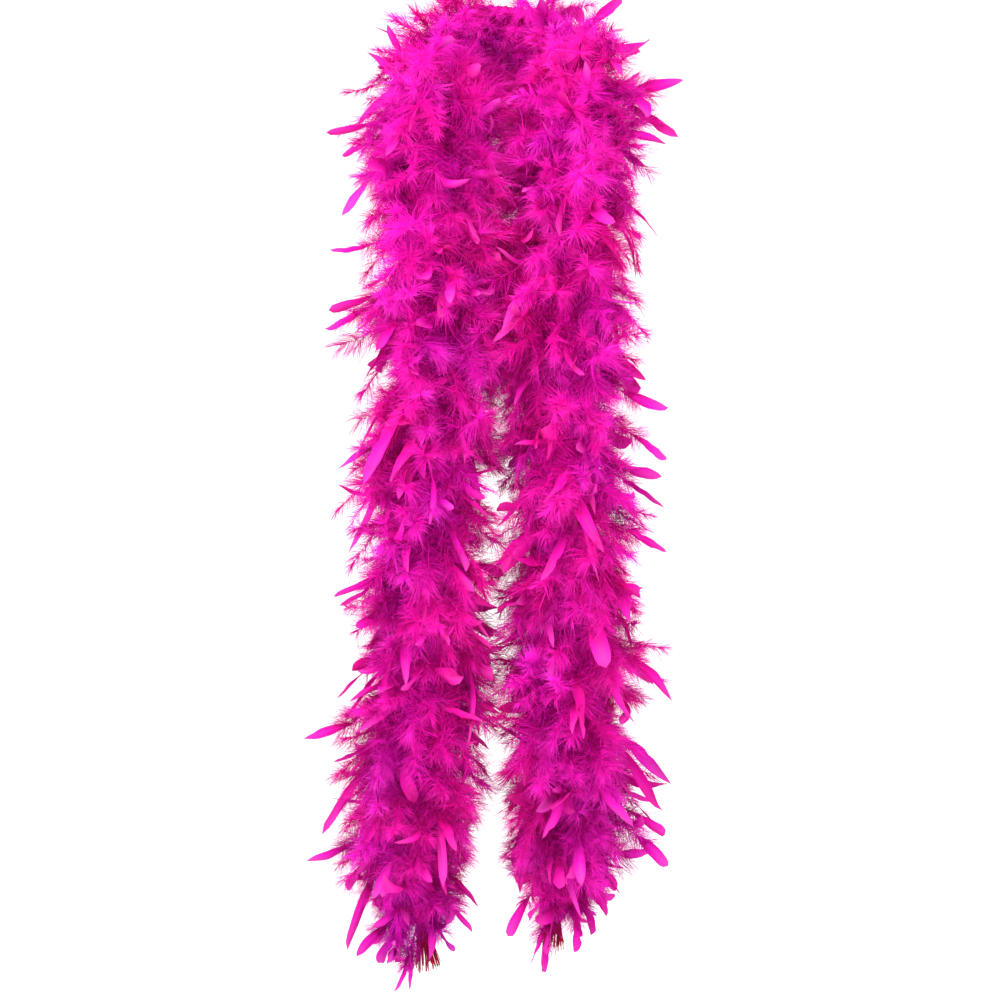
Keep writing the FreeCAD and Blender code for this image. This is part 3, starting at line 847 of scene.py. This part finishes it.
def simple_material(name, colour, roughness, scale, dark=0.6):
    """Dyed stuff with a fine uneven colour and a fine bump. The colour is painted shade in the bump's hollows,
    as dark there as the share dark.
    """
    material, nodes, links, shader = node_material(name)
    shader.inputs["Roughness"].default_value = roughness
    shader.inputs["Specular IOR Level"].default_value = 0.06
    noise = noise_node(nodes, links, scale, 6.0)
    painted_hollow_shade = tuple(channel * dark for channel in colour)
    # painted shade: the colour darkens in the hollows of the bump that the same noise makes
    shaded = ramp_node(nodes, links, noise, ((0.3, painted_hollow_shade), (0.7, colour)))
    links.new(shaded, shader.inputs["Base Color"])
    bump = nodes.new("ShaderNodeBump")
    bump.inputs["Strength"].default_value = 0.4
    bump.inputs["Distance"].default_value = 0.0005
    links.new(noise, bump.inputs["Height"])
    links.new(bump.outputs["Normal"], shader.inputs["Normal"])
    return material


FEATHER = feather_material()
# painted shade: the dense down's dyed pink is made a deeper crimson, the shade of the pile's inside, and its
# hollows are darker still
DOWN = simple_material("dense_down", (0.60, 0.001, 0.22), 0.95, 260.0, 0.4)
CORD = simple_material("cotton_cord", (0.55, 0.01, 0.22), 0.9, 900.0)
THREAD = simple_material("locking_thread", (0.45, 0.008, 0.16), 0.6, 1500.0)
QUILL = simple_material("cut_quill", (0.34, 0.001, 0.030), 0.4, 700.0)


# ---------------------------------------------------------------- camera, light, stage

def studio():
    """Even light from all round, with a soft key lamp at the upper left and a weak fill at the right."""
    world = bpy.data.worlds.new("studio")
    world.use_nodes = True
    world.node_tree.nodes["Background"].inputs["Color"].default_value = (1.0, 1.0, 1.0, 1.0)
    world.node_tree.nodes["Background"].inputs["Strength"].default_value = 1.34
    bpy.context.scene.world = world
    bpy.context.scene.view_settings.view_transform = "Standard"
    for name, place, target, size, power in (
        ("key", (-1.4, -1.9, 1.0), (0.0, -0.1, -0.15), 1.5, 64.0),
        ("fill", (2.2, -2.0, -0.2), (0.0, -0.1, -0.5), 1.6, 16.0),
    ):
        lamp = bpy.data.lights.new(name, "AREA")
        lamp.shape = "DISK"
        lamp.size = size
        lamp.energy = power
        holder = bpy.data.objects.new(name, lamp)
        holder.location = place
        holder.rotation_euler = (Vector(target) - Vector(place)).to_track_quat("-Z", "Y").to_euler()
        bpy.context.scene.collection.objects.link(holder)


def backdrop():
    """Pale floor that curves up into a wall behind."""
    front, back, floor, top, half_width = -4.6, 4.6, -1.32, 5.0, 7.0
    curve, steps = 0.8, 12
    profile = [(front, floor), (back, floor)]
    for step in range(1, steps + 1):
        turn = math.pi / 2 * step / steps
        profile.append((back + curve * math.sin(turn), floor + curve * (1 - math.cos(turn))))
    profile.append((back + curve, top))
    rows = np.array([[(x, y, z) for x in (-half_width, half_width)] for y, z in profile])
    sweep = new_mesh("backdrop", rows.reshape(-1, 3), [strip_faces(1, len(profile), 2)])
    material, _, _, shader = node_material("pale_paper")
    shader.inputs["Base Color"].default_value = (0.93, 0.93, 0.93, 1.0)
    shader.inputs["Roughness"].default_value = 0.9
    sweep.data.materials.append(material)


def camera():
    """Straight on, at the middle of the hanging length."""
    lens = bpy.data.cameras.new("camera")
    lens.lens = 108.0
    lens.sensor_width = 36.0
    holder = bpy.data.objects.new("camera", lens)
    holder.location = (-0.006, -3.14, -0.5)
    holder.rotation_euler = (math.radians(90), 0.0, 0.0)
    bpy.context.scene.collection.objects.link(holder)
    bpy.context.scene.camera = holder


studio()
backdrop()
camera()


# ---------------------------------------------------------------- zones

JOINTS = {joint["name"]: joint for joint in frame["joints"]}
BEND_AT = {name: nearest_distance(JOINTS[name]["pos_m"]) for name in BENDS}


def zones():
    """Stretches of the boa from the left end to the right: name, start, end, and body or joint."""
    half = BEND_HALF + BEND_MARGIN
    made = []
    at = 0.0
    for body, bend in zip(BODIES, BENDS + [None]):
        end = BEND_AT[bend] - half if bend else LINE_LENGTH
        made.append((body, at, end, body, None))
        if bend:
            at = end + 2 * half
            made.append((f"{bend}_bend", end, at, None, bend))
    return made


def fix_piece(piece, body, joint):
    """Rides on its body; a bend's piece only has its transform applied and doesn't bend."""
    if body:
        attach(piece, body)
        return
    middle = BEND_AT[joint]
    sign = 1.0 if joint.startswith("right") else -1.0
    (start, end), _ = on_route([middle - sign * BEND_HALF, middle + sign * BEND_HALF])
    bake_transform(piece)


def add_zone(number, name, start, end, body, joint):
    """The feathers and the dense down of one stretch. A tail's CAD nodes are replaced by the pieces of the
    bend at the top of their body, and the collar's by those of the collar.
    """
    rng = np.random.default_rng(ZONE_SEED + number)
    feathers, at = grow(start, end, rng)
    settle(feathers, at)
    chosen = [facts for facts in STRAY_TIPS if start <= stray_at(facts) < end]
    if chosen:
        feathers = feathers.joined(strays(chosen, rng))
    groups = max(1, math.ceil(len(feathers) / FEATHERS_PER_PIECE))
    pieces = []
    for group in range(groups):
        members = feathers.pick(np.arange(len(feathers)) % groups == group)
        pieces.append(feather_piece(f"{name}_feathers_{group + 1}", members, rng, FEATHER))
    down = down_piece(f"{name}_fluff", start, end, DOWN)
    for piece in pieces + [down]:
        fix_piece(piece, body, joint)
    if joint:
        tail = JOINTS[joint]["child"]
        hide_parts(f"{tail}_plumes")
        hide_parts(f"{tail}_down")
        if tail.endswith("lower"):
            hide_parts(f"{tail}_loose_plumes")
    if name == "collar":
        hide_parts(*(f"{part}_down" for part in COLLAR_PARTS))
        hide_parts(*(f"{part}_plumes" for part in COLLAR_PARTS))
        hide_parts("left_shoulder_loose_plumes", "right_shoulder_loose_plumes")


for number, zone in enumerate(zones()):
    add_zone(number, *zone)


# ---------------------------------------------------------------- core cord, ends, CAD nodes that stay

CUTS = [0.0] + [BEND_AT[name] for name in BENDS] + [LINE_LENGTH]
for body, start, end in zip(BODIES, CUTS, CUTS[1:]):
    cord, line = core_cord(f"{body}_twisted_core", start, end, CORD)
    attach(cord, body)
    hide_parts(f"{body}_core_cord")

for side, at, count in (("left", 0.0, 60), ("right", LINE_LENGTH, 46)):
    (foot,), (run,) = on_route([at])
    away = -run if side == "left" else run
    brush = quill_brush(f"{side}_cut_quills", f"{side}_quill_brush", foot, unit(away + 0.5 * GRAVITY), count,
                        np.random.default_rng(BRUSH_SEED + count), QUILL)
    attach(brush, f"{side}_lower")
    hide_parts(f"{side}_quill_brush")

for name, node in frame["nodes"].items():
    for ending, material in (("_end_knot", CORD), ("_locking_thread", THREAD), ("_end_whipping", THREAD)):
        if name.endswith(ending):
            node.data.materials.clear()
            node.data.materials.append(material)
